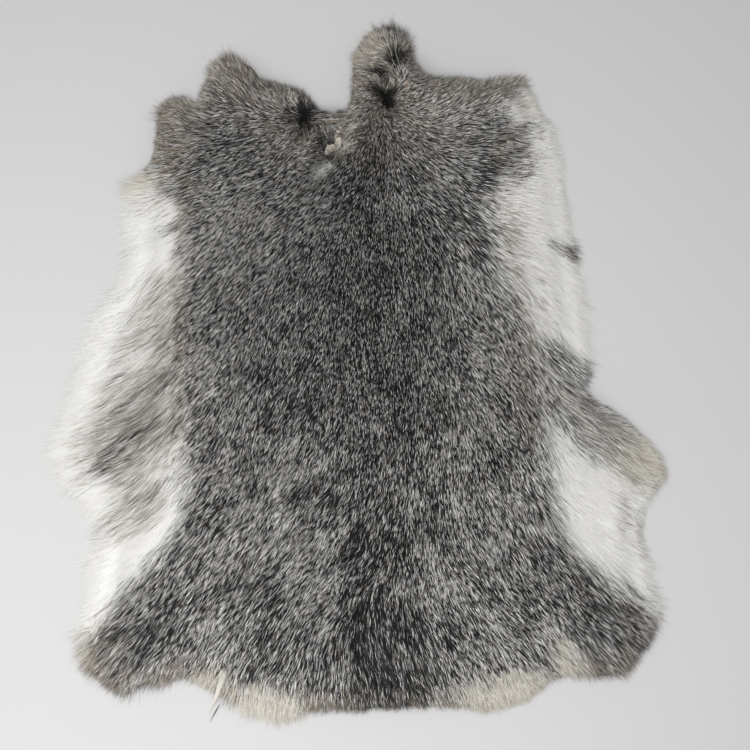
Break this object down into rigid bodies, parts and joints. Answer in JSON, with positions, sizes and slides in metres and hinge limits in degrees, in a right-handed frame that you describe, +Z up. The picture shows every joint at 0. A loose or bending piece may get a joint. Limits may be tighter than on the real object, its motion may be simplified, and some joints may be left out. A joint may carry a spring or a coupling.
{
  "type": "rabbit skin",
  "caption": "Tanned rabbit skin with its grey ticked fur, lying fur side up: a soft pelt with two head lobes, leg flaps, pale flanks and a fringe of locks round the rim.",
  "frame": {"origin": "middle of the skin's box, on the surface that it lies on", "axes": "+Z up, out of the fur; +Y to the neck end; +X to the right as the fur is seen from above"},
  "size_m": [0.3499, 0.4023, 0.0228],
  "materials": {
    "fur": "matte",
    "skin": "matte"
  },
  "bodies": {
    "root": {"pelt": "fur"}
  },
  "joints": []
}
